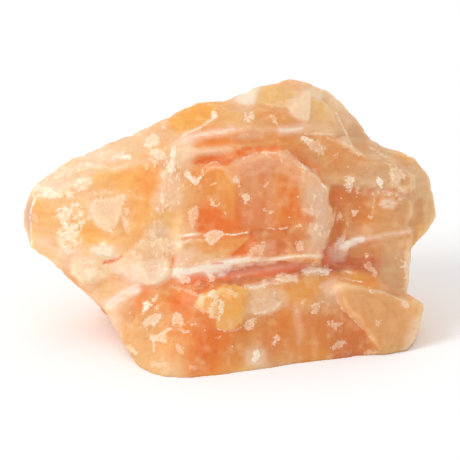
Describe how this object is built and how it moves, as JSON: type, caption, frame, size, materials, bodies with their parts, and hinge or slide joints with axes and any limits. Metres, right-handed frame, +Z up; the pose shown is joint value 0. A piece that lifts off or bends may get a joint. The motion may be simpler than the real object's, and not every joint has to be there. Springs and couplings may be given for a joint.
{
  "type": "rough calcite stone",
  "caption": "Rough, hand-sized orange calcite chunk with stepped cleavage faces and ledges, resting on its flat underside.",
  "frame": {"origin": "middle of the bounding box, at the level of the flat underside", "axes": "+X along the stone's length, to the right as seen from its front; the front faces -Y; +Z up"},
  "size_m": [0.1032, 0.0656, 0.0593],
  "materials": {
    "calcite": "waxy and translucent on broken faces, with frosted bruises and milky veins"
  },
  "bodies": {
    "root": {"orange_calcite": "calcite"}
  },
  "joints": []
}
